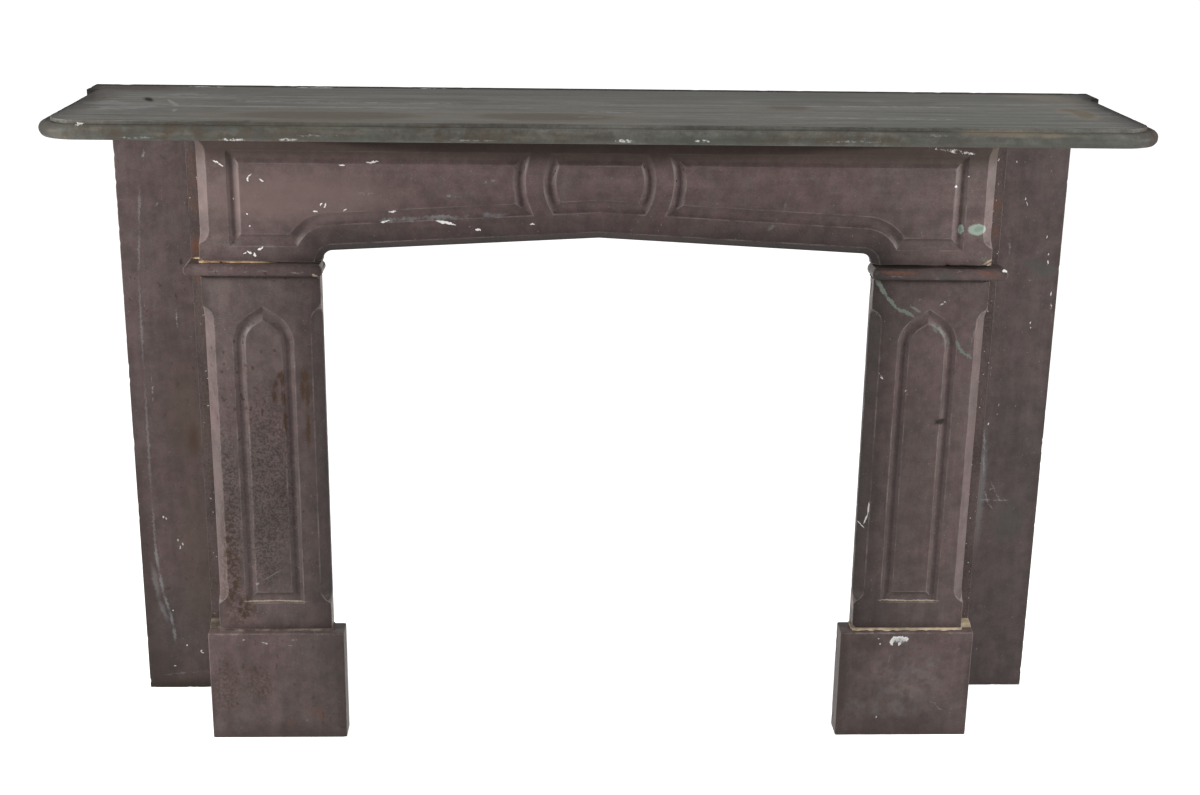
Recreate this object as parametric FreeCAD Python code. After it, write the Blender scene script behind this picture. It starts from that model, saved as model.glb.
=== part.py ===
import FreeCAD, Part
import math
import os
from FreeCAD import Vector

# Slate fireplace mantel: slabs of slate bedded in plaster, with iron cramps and dowels.
# X runs across the front, -Y faces the room, +Z is up. The origin is on the hearth, in the
# middle of the width and of the depth. Lengths are millimetres. "out" is the distance
# measured from the wall towards the room.

# Driving dimensions: slabs
slab_thickness = 25.5
panel_thickness = 22.0
bed_thickness = 1.5
bed_squeeze = 1.5

# Driving dimensions: legs
pilaster_width = 174.5
pilaster_height = 567.0
return_reveal = 17.0
return_depth = 134.0
side_panel_reveal = 135.5
plinth_height = 180.0
plinth_projection = 14.0
plinth_overhang = 19.0
plinth_arris = 2.5
capital_thickness = 18.0
capital_projection = 17.0
capital_overhang = 5.5
capital_end_overhang = 5.0
capital_bulge = 5.0

# Driving dimensions: frieze and its arch
frieze_height = 205.5
arch_overhang = 3.5
arch_pitch = math.radians(3.1)
haunch_radius = 15.0
arch_chamfer = 11.0

# Driving dimensions: carved grooves
groove_width = 18.0
groove_depth = 6.0
panel_margin_top = 43.0
panel_margin_side = 44.5
panel_margin_bottom = 22.5
panel_margin_arch = 40.0
medallion_radius = 82.0
medallion_height = 119.5
medallion_gap = 26.0
lancet_width = 90.0
lancet_shoulder_radius = 52.0
lancet_flank_pitch = math.radians(33.0)
lancet_margin_head = 46.5
lancet_margin_foot = 44.0

# Driving dimensions: stopped chamfers
chamfer_leg = 16.0
chamfer_stop_radius = 25.0
frieze_chamfer_margin = 25.5

# Driving dimensions: shelf and its moulded edge
shelf_width = 1517.0
shelf_end_overhang = 22.5
shelf_depth = 382.0
shelf_thickness = 25.0
shelf_corner_radius = 60.0
ear_depth = 64.0
fillet_height = 5.0
fillet_setback = 16.0
nose_height = 10.0
nose_top_setback = 12.0
nose_under_setback = 5.5

# Driving dimensions: hidden blocks, cramps, ties and dowels
block_size = 38.0
block_height = 70.0
block_foot_rise = 138.5
block_head_drop = 108.5
block_frieze_rise = 100.5
iron_width = 25.0
iron_thickness = 4.0
peg_length = 12.0
peg_clearance = 0.3
cramp_foot_rise = 120.0
cramp_head_drop = 173.0
cramp_reach = 42.0
frieze_cramp_leg = 60.0
frieze_cramp_drop = 33.0
tie_foot_rise = 260.0
tie_head_drop = 95.0
tie_leg = 50.0
tie_reach = 70.0
tie_hole_diameter = 6.5
tie_hole_margin = 14.0
dowel_diameter = 10.0
dowel_clearance = 0.2
dowel_spacing = 100.0
dowel_grip = 20.0

# Places across the width, for the right-hand leg
side_panel_outer = shelf_width / 2 - shelf_end_overhang
leg_outer = side_panel_outer - side_panel_reveal
return_inner = leg_outer - slab_thickness
pilaster_outer = leg_outer - return_reveal
pilaster_inner = pilaster_outer - pilaster_width
pilaster_middle = (pilaster_inner + pilaster_outer) / 2
arch_half_span = pilaster_inner - arch_overhang
plinth_inner = pilaster_inner - plinth_overhang
capital_inner = pilaster_inner - capital_overhang
capital_outer = leg_outer + capital_end_overhang

# Distances out from the wall
wall_y = shelf_depth / 2
return_front = panel_thickness + return_depth
face_out = return_front + slab_thickness
plinth_front = face_out + plinth_projection
capital_front = face_out + capital_projection
dowel_out = face_out - slab_thickness / 2

# Heights above the hearth
pilaster_foot = plinth_height + bed_thickness
pilaster_head = pilaster_foot + pilaster_height
capital_foot = pilaster_head + bed_thickness
capital_head = capital_foot + capital_thickness
frieze_foot = capital_head + bed_thickness
frieze_head = frieze_foot + frieze_height
shelf_foot = frieze_head + bed_thickness
shelf_top = shelf_foot + shelf_thickness
cramp_low = cramp_foot_rise
cramp_high = frieze_head - cramp_head_drop
cramp_levels = (cramp_low, (cramp_low + cramp_high) / 2, cramp_high)
tie_levels = (tie_foot_rise, frieze_head - tie_head_drop)
frieze_cramp_level = frieze_head - frieze_cramp_drop
block_levels = (pilaster_foot + block_foot_rise, pilaster_head - block_head_drop,
                frieze_foot + block_frieze_rise)

# Arch: each haunch arc is centred on the frieze's lower edge and runs into a straight slope
haunch_center = arch_half_span - haunch_radius
panel_haunch_radius = haunch_radius + panel_margin_arch
medallion_center = frieze_foot + medallion_height


def point(x, out, z):
    return Vector(x, wall_y - out, z)


def line(start, end):
    return Part.LineSegment(start, end).toShape()


def arc(start, middle, end):
    return Part.Arc(start, middle, end).toShape()


def box(x0, x1, out0, out1, z0, z1):
    return Part.makeBox(x1 - x0, out1 - out0, z1 - z0, point(x0, out1, z0))


def joined(solids):
    return solids[0].fuse(solids[1:]).removeSplitter()


def mirrored(shape):
    return shape.mirror(Vector(0, 0, 0), Vector(1, 0, 0))


def prism(edges, direction):
    """Solid made by moving the face inside a closed run of edges."""
    return Part.Face(Part.Wire(edges)).extrude(direction)


def frustum(outline, inset_front, out_front, inset_back, out_back):
    """Tapered plug between two insets of one outline, at two distances from the wall."""
    wires = [outline(inset_front, out_front), outline(inset_back, out_back)]
    return Part.makeLoft(wires, True, True)


def v_groove(outline):
    """Cutter for a closed V-groove whose outer edge is the outline with no inset."""
    half = groove_width / 2
    lip = groove_depth / 5
    spread = lip * half / groove_depth
    lip_out = face_out + lip
    floor_out = face_out - groove_depth
    plug = frustum(outline, -spread, lip_out, half, floor_out)
    field = frustum(outline, groove_width + spread, lip_out, half, floor_out)
    return plug.cut(field)


# Height of the arch's slope, moved up square to itself, where it crosses a circle's edge
def slope_height(x, shift):
    apex = frieze_foot + haunch_radius / math.cos(arch_pitch) + haunch_center * math.tan(arch_pitch)
    return apex + shift / math.cos(arch_pitch) - abs(x) * math.tan(arch_pitch)


def slope_meets_circle(radius, shift):
    """Point right of the middle where the shifted slope crosses a circle about the medallion."""
    height = slope_height(0, shift) - medallion_center
    rate = math.tan(arch_pitch)
    quad = 1 + rate * rate
    reach = math.sqrt((rate * height) ** 2 - quad * (height * height - radius * radius))
    x = (rate * height + reach) / quad
    return x, slope_height(x, shift)


def on_circle(center_x, center_z, radius, angle, out):
    return point(center_x + radius * math.sin(angle), out, center_z + radius * math.cos(angle))


def arch_outline(grow, out):
    """Outline of the opening under the frieze, grown evenly, closed below the slab."""
    radius = haunch_radius + grow
    below = frieze_foot - haunch_radius
    edges = []
    ends = []
    for side in (-1, 1):
        spring = point(side * (haunch_center + radius), out, frieze_foot)
        middle_angle = side * (arch_pitch + math.pi / 2) / 2
        middle = on_circle(side * haunch_center, frieze_foot, radius, middle_angle, out)
        top = on_circle(side * haunch_center, frieze_foot, radius, side * arch_pitch, out)
        foot = point(side * (haunch_center + radius), out, below)
        ends.append((foot, spring, middle, top))
    left, right = ends
    apex = point(0, out, slope_height(0, grow))
    edges.append(line(left[0], left[1]))
    edges.append(arc(left[1], left[2], left[3]))
    edges.append(line(left[3], apex))
    edges.append(line(apex, right[3]))
    edges.append(arc(right[3], right[2], right[1]))
    edges.append(line(right[1], right[0]))
    edges.append(line(right[0], left[0]))
    return Part.Wire(edges)


def side_field_outline(inset, out):
    """Outline of the right-hand frieze panel: it follows the medallion and the arch."""
    top = frieze_head - panel_margin_top - inset
    bottom = frieze_foot + panel_margin_bottom + inset
    outer = pilaster_outer - panel_margin_side - inset
    round_radius = medallion_radius + medallion_gap + inset
    haunch = panel_haunch_radius + inset
    rise = top - medallion_center
    top_left = point(math.sqrt(round_radius ** 2 - rise ** 2), out, top)
    top_right = point(outer, out, top)
    low_right = point(outer, out, bottom)
    step = bottom - frieze_foot
    low_angle = math.acos(step / haunch)
    low_left = on_circle(haunch_center, frieze_foot, haunch, low_angle, out)
    bend = on_circle(haunch_center, frieze_foot, haunch, (low_angle + arch_pitch) / 2, out)
    shoulder = on_circle(haunch_center, frieze_foot, haunch, arch_pitch, out)
    end_x, end_z = slope_meets_circle(round_radius, panel_margin_arch + inset)
    slope_end = point(end_x, out, end_z)
    waist = point(round_radius, out, medallion_center)
    edges = [line(top_left, top_right), line(top_right, low_right), line(low_right, low_left)]
    edges += [arc(low_left, bend, shoulder), line(shoulder, slope_end)]
    edges.append(arc(slope_end, waist, top_left))
    return Part.Wire(edges)


def medallion_outline(inset, out):
    """Outline of the middle panel: round ends, flat top, bottom peaked like the arch."""
    top = frieze_head - panel_margin_top - inset
    radius = medallion_radius - inset
    rise = top - medallion_center
    half_top = math.sqrt(radius ** 2 - rise ** 2)
    half_foot, foot_z = slope_meets_circle(radius, panel_margin_arch + inset)
    peak = point(0, out, slope_height(0, panel_margin_arch + inset))
    top_left = point(-half_top, out, top)
    top_right = point(half_top, out, top)
    foot_right = point(half_foot, out, foot_z)
    foot_left = point(-half_foot, out, foot_z)
    waist_right = point(radius, out, medallion_center)
    waist_left = point(-radius, out, medallion_center)
    edges = [line(top_left, top_right), arc(top_right, waist_right, foot_right)]
    edges += [line(foot_right, peak), line(peak, foot_left)]
    edges.append(arc(foot_left, waist_left, top_left))
    return Part.Wire(edges)


def lancet_outline(inset, out):
    """Outline of the pilaster's panel: upright sides, round shoulders and straight flanks."""
    half = lancet_width / 2 - inset
    radius = lancet_shoulder_radius - inset
    offset = lancet_shoulder_radius - lancet_width / 2
    rake = math.tan(lancet_flank_pitch)
    drop = lancet_shoulder_radius / math.cos(lancet_flank_pitch) - offset * rake
    apex_z = pilaster_head - lancet_margin_head - inset / math.cos(lancet_flank_pitch)
    spring_z = pilaster_head - lancet_margin_head - drop
    foot_z = pilaster_foot + lancet_margin_foot + inset
    apex = point(pilaster_middle, out, apex_z)
    sides = []
    for side in (-1, 1):
        center = pilaster_middle - side * offset
        swell_angle = side * (lancet_flank_pitch + math.pi / 2) / 2
        foot = point(pilaster_middle + side * half, out, foot_z)
        spring = point(pilaster_middle + side * half, out, spring_z)
        swell = on_circle(center, spring_z, radius, swell_angle, out)
        shoulder = on_circle(center, spring_z, radius, side * lancet_flank_pitch, out)
        sides.append((foot, spring, swell, shoulder))
    left, right = sides
    edges = [line(left[0], left[1]), arc(left[1], left[2], left[3]), line(left[3], apex)]
    edges += [line(apex, right[3]), arc(right[3], right[2], right[1]), line(right[1], right[0])]
    edges.append(line(right[0], left[0]))
    return Part.Wire(edges)


def stopped_chamfer(corner_x, side, low, high):
    """Cutter for an upright front edge: flat 45 degree chamfer with hollow run-outs."""
    depth = chamfer_leg / math.sqrt(2)
    run = math.sqrt(chamfer_stop_radius ** 2 - (chamfer_stop_radius - depth) ** 2)
    half_turn = math.asin(run / chamfer_stop_radius) / 2
    half_run = chamfer_stop_radius * math.sin(half_turn)
    half_depth = chamfer_stop_radius * (math.cos(half_turn) - 1) + depth
    inward = Vector(-side, 1, 0).normalize()
    across = Vector(side, 1, 0).normalize()
    spare = chamfer_leg
    start = point(corner_x, face_out, 0) - across * spare

    def spot(depth_in, z):
        return start + inward * depth_in + Vector(0, 0, z)

    low_end = spot(0, low)
    low_bend = spot(half_depth, low + run - half_run)
    low_flat = spot(depth, low + run)
    high_flat = spot(depth, high - run)
    high_bend = spot(half_depth, high - run + half_run)
    high_end = spot(0, high)
    high_clear = spot(-spare, high)
    low_clear = spot(-spare, low)
    edges = [arc(low_end, low_bend, low_flat), line(low_flat, high_flat)]
    edges += [arc(high_flat, high_bend, high_end), line(high_end, high_clear)]
    edges += [line(high_clear, low_clear), line(low_clear, low_end)]
    return prism(edges, across * (2 * spare))


def dowels(low, high, gap):
    """Upright dowels of the right-hand leg, or their holes when gap is not zero."""
    radius = dowel_diameter / 2 + gap
    rods = []
    for side in (-1, 1):
        foot = point(pilaster_middle + side * dowel_spacing / 2, dowel_out, low)
        rods.append(Part.makeCylinder(radius, high - low, foot))
    return rods


def return_pegs(outs, levels, gap):
    """Turned ends of irons that enter the leg across the width, or their mortises."""
    half_t = iron_thickness / 2 + gap
    half_w = iron_width / 2 + gap
    depth = return_inner + peg_length + gap
    return [box(return_inner, depth, out - half_t, out + half_t, z - half_w, z + half_w)
            for z in levels for out in outs]


def frieze_pegs(gap):
    """Turned end of the frieze cramp that enters the frieze, or its mortise."""
    half_t = iron_thickness / 2 + gap
    half_w = iron_width / 2 + gap
    x = return_inner - frieze_cramp_leg + iron_thickness / 2
    depth = return_front + peg_length + gap
    low = frieze_cramp_level - half_w
    high = frieze_cramp_level + half_w
    return [box(x - half_t, x + half_t, return_front, depth, low, high)]


# Where the irons enter the leg, as distances out from the wall
cramp_panel_out = panel_thickness / 2
cramp_return_out = panel_thickness + cramp_reach
tie_peg_out = tie_reach - iron_thickness / 2
frieze_cramp_peg_out = return_front - frieze_cramp_leg + iron_thickness / 2

plinth_dowel_span = (plinth_height - dowel_grip, pilaster_foot + dowel_grip)
capital_dowel_span = (pilaster_head - dowel_grip, frieze_foot + dowel_grip)
plinth_dowel_holes = dowels(*plinth_dowel_span, dowel_clearance)
capital_dowel_holes = dowels(*capital_dowel_span, dowel_clearance)


def nose_profile(turn):
    """Face of the shelf's moulded edge; turn maps (distance in from the nose, height)."""
    top = shelf_thickness - fillet_height

    def bulge(setback, height):
        rise = height - nose_height
        radius = (rise * rise + setback * setback) / (2 * setback)
        half_turn = math.atan2(rise, radius - setback) / 2
        return radius - radius * math.cos(half_turn), nose_height + radius * math.sin(half_turn)

    root_low = turn(fillet_setback, 0)
    under = turn(nose_under_setback, 0)
    under_swell = turn(*bulge(nose_under_setback, 0))
    nose = turn(0, nose_height)
    top_swell = turn(*bulge(nose_top_setback, top))
    shoulder = turn(nose_top_setback, top)
    root_high = turn(fillet_setback, top)
    edges = [line(root_low, under), arc(under, under_swell, nose), arc(nose, top_swell, shoulder)]
    edges += [line(shoulder, root_high), line(root_high, root_low)]
    return Part.Face(Part.Wire(edges))


def make_shelf():
    half = shelf_width / 2
    turn_x = half - shelf_corner_radius
    turn_out = shelf_depth - shelf_corner_radius
    root_x = half - fillet_setback
    root_out = shelf_depth - fillet_setback
    root_radius = shelf_corner_radius - fillet_setback
    diagonal = root_radius * math.sqrt(0.5)

    edges = [line(point(root_x, 0, shelf_foot), point(root_x, turn_out, shelf_foot))]
    bend_out = turn_out + diagonal
    edges.append(arc(point(root_x, turn_out, shelf_foot), point(turn_x + diagonal, bend_out, shelf_foot),
                     point(turn_x, root_out, shelf_foot)))
    edges.append(line(point(turn_x, root_out, shelf_foot), point(-turn_x, root_out, shelf_foot)))
    edges.append(arc(point(-turn_x, root_out, shelf_foot), point(-turn_x - diagonal, bend_out, shelf_foot),
                     point(-root_x, turn_out, shelf_foot)))
    edges.append(line(point(-root_x, turn_out, shelf_foot), point(-root_x, 0, shelf_foot)))
    edges.append(line(point(-root_x, 0, shelf_foot), point(root_x, 0, shelf_foot)))
    core = prism(edges, Vector(0, 0, shelf_thickness))

    front = nose_profile(lambda inset, z: point(turn_x, shelf_depth - inset, shelf_foot + z))
    end = nose_profile(lambda inset, z: point(half - inset, turn_out, shelf_foot + z))
    corner = front.revolve(point(turn_x, turn_out, shelf_foot), Vector(0, 0, 1), 90)
    end_run = end.extrude(Vector(0, turn_out - ear_depth, 0))
    front_run = front.extrude(Vector(-2 * turn_x, 0, 0))
    ear = box(root_x, half, 0, ear_depth, shelf_foot, shelf_top)
    right = [corner, end_run, ear]
    return joined([core, front_run] + right + [mirrored(piece) for piece in right])


def make_frieze():
    blank = box(-pilaster_outer, pilaster_outer, return_front, face_out, frieze_foot, frieze_head)
    opening = frustum(arch_outline, 0, face_out + slab_thickness, 0, return_front - slab_thickness)
    eased = frustum(arch_outline, 2 * arch_chamfer, face_out + arch_chamfer, 0, face_out - arch_chamfer)
    low = frieze_foot + frieze_chamfer_margin
    high = frieze_head - frieze_chamfer_margin
    one_side = [v_groove(side_field_outline), stopped_chamfer(pilaster_outer, 1, low, high)]
    one_side += capital_dowel_holes + frieze_pegs(peg_clearance)
    cutters = [opening, eased, v_groove(medallion_outline)]
    cutters += one_side + [mirrored(cutter) for cutter in one_side]
    return blank.cut(cutters)


def make_pilaster():
    blank = box(pilaster_inner, pilaster_outer, return_front, face_out, pilaster_foot, pilaster_head)
    low = pilaster_foot + lancet_margin_foot
    high = pilaster_head - lancet_margin_head
    cutters = [v_groove(lancet_outline)]
    cutters.append(stopped_chamfer(pilaster_outer, 1, low, high))
    cutters.append(stopped_chamfer(pilaster_inner, -1, low, high))
    return blank.cut(cutters + plinth_dowel_holes + capital_dowel_holes)


def make_plinth():
    blank = box(plinth_inner, leg_outer, return_front, plinth_front, 0, plinth_height)
    back_y = wall_y - return_front
    worn = [edge for edge in blank.Edges
            if edge.BoundBox.YMin < back_y - plinth_arris and edge.BoundBox.ZMax > plinth_arris]
    return blank.makeFillet(plinth_arris, worn).cut(plinth_dowel_holes)


def make_capital():
    middle = capital_foot + capital_thickness / 2
    shoulder_out = capital_front - capital_bulge
    side_edges = [line(point(0, return_front, capital_foot), point(0, shoulder_out, capital_foot))]
    side_edges.append(arc(point(0, shoulder_out, capital_foot), point(0, capital_front, middle),
                          point(0, shoulder_out, capital_head)))
    side_edges.append(line(point(0, shoulder_out, capital_head), point(0, return_front, capital_head)))
    side_edges.append(line(point(0, return_front, capital_head), point(0, return_front, capital_foot)))
    run = prism(side_edges, Vector(capital_outer, 0, 0))

    left = capital_inner + capital_bulge
    right = capital_outer - capital_bulge
    front_edges = [line(point(left, 0, capital_foot), point(right, 0, capital_foot))]
    front_edges.append(arc(point(right, 0, capital_foot), point(capital_outer, 0, middle),
                           point(right, 0, capital_head)))
    front_edges.append(line(point(right, 0, capital_head), point(left, 0, capital_head)))
    front_edges.append(arc(point(left, 0, capital_head), point(capital_inner, 0, middle),
                           point(left, 0, capital_foot)))
    ends = prism(front_edges, Vector(0, -capital_front, 0))
    return run.common(ends).cut(capital_dowel_holes)


def make_return():
    blank = box(return_inner, leg_outer, panel_thickness, return_front, 0, frieze_head)
    mortises = return_pegs([cramp_return_out], cramp_levels, peg_clearance)
    mortises += return_pegs([tie_peg_out], tie_levels, peg_clearance)
    mortises += return_pegs([frieze_cramp_peg_out], [frieze_cramp_level], peg_clearance)
    return blank.cut(mortises)


def make_side_panel():
    blank = box(return_inner, side_panel_outer, 0, panel_thickness, 0, frieze_head)
    return blank.cut(return_pegs([cramp_panel_out], cramp_levels, peg_clearance))


def make_bed(low, holes):
    """Plaster between two slabs of a leg, squeezed out a little past the slab."""
    inner = pilaster_inner - bed_squeeze
    outer = pilaster_outer + bed_squeeze
    bed = box(inner, outer, return_front, face_out + bed_squeeze, low, low + bed_thickness)
    return bed.cut(holes)


def make_shelf_bed():
    top = frieze_head + bed_thickness
    strip = box(-pilaster_outer, pilaster_outer, return_front, face_out, frieze_head, top)
    over_return = box(return_inner, leg_outer, panel_thickness, return_front, frieze_head, top)
    over_panel = box(return_inner, side_panel_outer, 0, panel_thickness, frieze_head, top)
    right = [over_return, over_panel]
    return joined([strip] + right + [mirrored(piece) for piece in right])


def make_corner_blocks():
    inner = return_inner - block_size
    back = return_front - block_size
    half = block_height / 2
    return [box(inner, return_inner, back, return_front, z - half, z + half) for z in block_levels]


def make_return_cramps():
    """Staple-shaped irons across the joint of return and side panel."""
    cramps = []
    low_out = cramp_panel_out - iron_thickness / 2
    high_out = cramp_return_out + iron_thickness / 2
    for z in cramp_levels:
        low = z - iron_width / 2
        bar = box(return_inner - iron_thickness, return_inner, low_out, high_out, low, low + iron_width)
        cramps.append(joined([bar] + return_pegs([cramp_panel_out, cramp_return_out], [z], 0)))
    return cramps


def make_frieze_cramp():
    """Bent iron in the corner of frieze and return."""
    low = frieze_cramp_level - iron_width / 2
    high = low + iron_width
    back = return_front - frieze_cramp_leg
    on_frieze = box(return_inner - frieze_cramp_leg, return_inner, return_front - iron_thickness,
                    return_front, low, high)
    on_return = box(return_inner - iron_thickness, return_inner, back, return_front, low, high)
    pegs = frieze_pegs(0) + return_pegs([frieze_cramp_peg_out], [frieze_cramp_level], 0)
    return joined([on_frieze, on_return] + pegs)


def make_wall_ties():
    """Bent irons with one leg screwed to the wall and one pegged into the return."""
    ties = []
    for z in tie_levels:
        low = z - iron_width / 2
        high = low + iron_width
        on_wall = box(return_inner - tie_leg, return_inner, 0, iron_thickness, low, high)
        on_return = box(return_inner - iron_thickness, return_inner, 0, tie_reach, low, high)
        tie = joined([on_wall, on_return] + return_pegs([tie_peg_out], [z], 0))
        hole_foot = point(return_inner - tie_leg + tie_hole_margin, 0, z)
        hole = Part.makeCylinder(tie_hole_diameter / 2, iron_thickness, hole_foot, Vector(0, -1, 0))
        ties.append(tie.cut(hole))
    return ties


# Nodes: the pieces of the right-hand side, their mirror images, and the pieces in the middle
right_side = {
    "pilaster": make_pilaster(),
    "plinth": make_plinth(),
    "capital": make_capital(),
    "return": make_return(),
    "side_panel": make_side_panel(),
    "plinth_bed": make_bed(plinth_height, plinth_dowel_holes),
    "neck_bed": make_bed(pilaster_head, capital_dowel_holes),
    "capital_bed": make_bed(capital_head, capital_dowel_holes),
    "corner_blocks": Part.makeCompound(make_corner_blocks()),
    "return_cramps": Part.makeCompound(make_return_cramps()),
    "frieze_cramp": make_frieze_cramp(),
    "wall_ties": Part.makeCompound(make_wall_ties()),
}
plinth_rods = dowels(*plinth_dowel_span, 0)
capital_rods = dowels(*capital_dowel_span, 0)

nodes = {
    "shelf": make_shelf(),
    "frieze": make_frieze(),
    "shelf_bed": make_shelf_bed(),
    "plinth_dowels": Part.makeCompound(plinth_rods + [mirrored(rod) for rod in plinth_rods]),
    "capital_dowels": Part.makeCompound(capital_rods + [mirrored(rod) for rod in capital_rods]),
}
for name, shape in right_side.items():
    nodes[name + "_right"] = shape
    nodes[name + "_left"] = mirrored(shape)

os.makedirs("parts", exist_ok=True)
for name, shape in nodes.items():
    shape.exportStep("parts/%s.step" % name)
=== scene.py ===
import math

import bmesh
import bpy
from mathutils import Matrix, Vector, kdtree, noise


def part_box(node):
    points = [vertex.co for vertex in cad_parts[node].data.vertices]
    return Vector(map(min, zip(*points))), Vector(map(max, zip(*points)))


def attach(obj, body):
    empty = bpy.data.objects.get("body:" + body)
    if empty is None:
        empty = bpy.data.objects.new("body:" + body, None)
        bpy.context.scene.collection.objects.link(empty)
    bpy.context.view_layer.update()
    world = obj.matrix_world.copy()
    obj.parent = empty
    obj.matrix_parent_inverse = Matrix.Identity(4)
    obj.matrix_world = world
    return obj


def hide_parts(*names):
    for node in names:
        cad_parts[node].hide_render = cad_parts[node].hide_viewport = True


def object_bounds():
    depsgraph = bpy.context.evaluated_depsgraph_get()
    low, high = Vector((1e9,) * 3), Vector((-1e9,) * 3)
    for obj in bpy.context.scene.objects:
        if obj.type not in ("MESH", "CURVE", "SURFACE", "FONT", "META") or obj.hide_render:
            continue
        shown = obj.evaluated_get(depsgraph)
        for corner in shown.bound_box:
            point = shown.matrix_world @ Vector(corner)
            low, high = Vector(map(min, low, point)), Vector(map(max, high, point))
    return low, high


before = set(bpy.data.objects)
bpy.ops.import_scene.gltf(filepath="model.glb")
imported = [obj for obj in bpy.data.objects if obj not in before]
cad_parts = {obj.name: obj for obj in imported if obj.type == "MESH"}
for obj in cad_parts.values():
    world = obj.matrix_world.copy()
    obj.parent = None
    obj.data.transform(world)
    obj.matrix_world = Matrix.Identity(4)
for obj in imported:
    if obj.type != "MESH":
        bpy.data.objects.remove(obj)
cad_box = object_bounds()

# Lengths are metres: X across the front, -Y to the room, +Z up, origin on the hearth.
# The marks on the slabs are the one thing written in millimetres.
MM = 0.001
BODY = "root"
SIDES = ("left", "right")

# Camera, measured from the picture's frame of 1200 by 795
PICTURE_WIDTH = 1200
CAMERA_PLACE = (-0.0942, -2.4874, 1.3480)
CAMERA_YAW = math.radians(2.268)
CAMERA_PITCH = math.radians(17.449)
CAMERA_ROLL = math.radians(0.861)
CAMERA_FOCAL_PIXELS = 1736.04
CAMERA_REACH = 200.0
SENSOR_WIDTH = 36.0

# Lamps, one beyond each end of the mantel: place, aim, width, height, watts
LAMPS = {
    "lamp_left": ((-2.0, -0.58, 1.094), (-0.3, 0.1, 1.09), 0.40, 0.03, 44.0),
    "lamp_right": ((2.0, -0.58, 1.094), (0.3, 0.1, 1.09), 0.40, 0.03, 38.0),
}

# Strength of the room's light at the horizon and overhead, and the white floor
AMBIENT_LOW = 0.34
AMBIENT_HIGH = 0.40
FLOOR_SIZE = 80.0
FLOOR_GAP = 0.2 * MM
FLOOR_GLOW = 0.83
FLOOR_COLOUR = (0.75, 0.75, 0.75, 1.0)

# Mesh detail
GRID = 6 * MM
SHELF_GRID = 8 * MM
ARRIS = 0.9 * MM
ARRIS_SEGMENTS = 2
LIP_ROUND = 1.4 * MM
GROOVE_DEPTH = 6 * MM
GROOVE_HOLLOW = 7 * MM
GROOVE_SEGMENTS = 4
FLAT_ANGLE = math.radians(0.4)
CREASE_ANGLE = math.radians(24)
LIP_ANGLE = math.radians(50)
SMOOTH_ANGLE = math.radians(38)
CREASE_STEP = 2 * MM
FAR = 20 * MM
WELD = 0.01 * MM
FACING = 0.9

# Chips on the arrises and clefts in the backs. A scale of noise is in cells per metre.
CHIP_REACH = 4 * MM
CHIP_GAIN = 4.5 * MM
CHIP_MOST = 2.2 * MM
CHIP_START = 0.32
CHIP_SCALE = 95.0
CHIP_PATCH_SCALE = 17.0
WOBBLE = 0.25 * MM
WOBBLE_SCALE = 40.0
RIVEN_DEPTH = 0.9 * MM
RIVEN_SCALE = 14.0
RIVEN_TERRACES = 9.0
RIVEN_MARGIN = 6 * MM
RIVEN_GRAIN = 0.25 * MM
RIVEN_GRAIN_SCALE = 160.0

# Soot drawn over the slabs round the fire's opening
ARCH_CROWN = 805.7 * MM
ARCH_PITCH = math.radians(3.1)
OPENING_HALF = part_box("pilaster_right")[0].x
SOOT_REACH = 60 * MM

# Places that the grooves, the plaster and the blocks follow
FACE_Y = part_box("pilaster_right")[0].y
LEG_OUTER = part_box("return_right")[1].x
PILASTER_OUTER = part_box("pilaster_right")[1].x
RETURN_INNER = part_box("return_right")[0].x
RETURN_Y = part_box("return_right")[0].y
PLINTH_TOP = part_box("plinth_right")[1].z
CAPITAL_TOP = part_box("capital_right")[1].z


# Shader graphs

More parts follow.
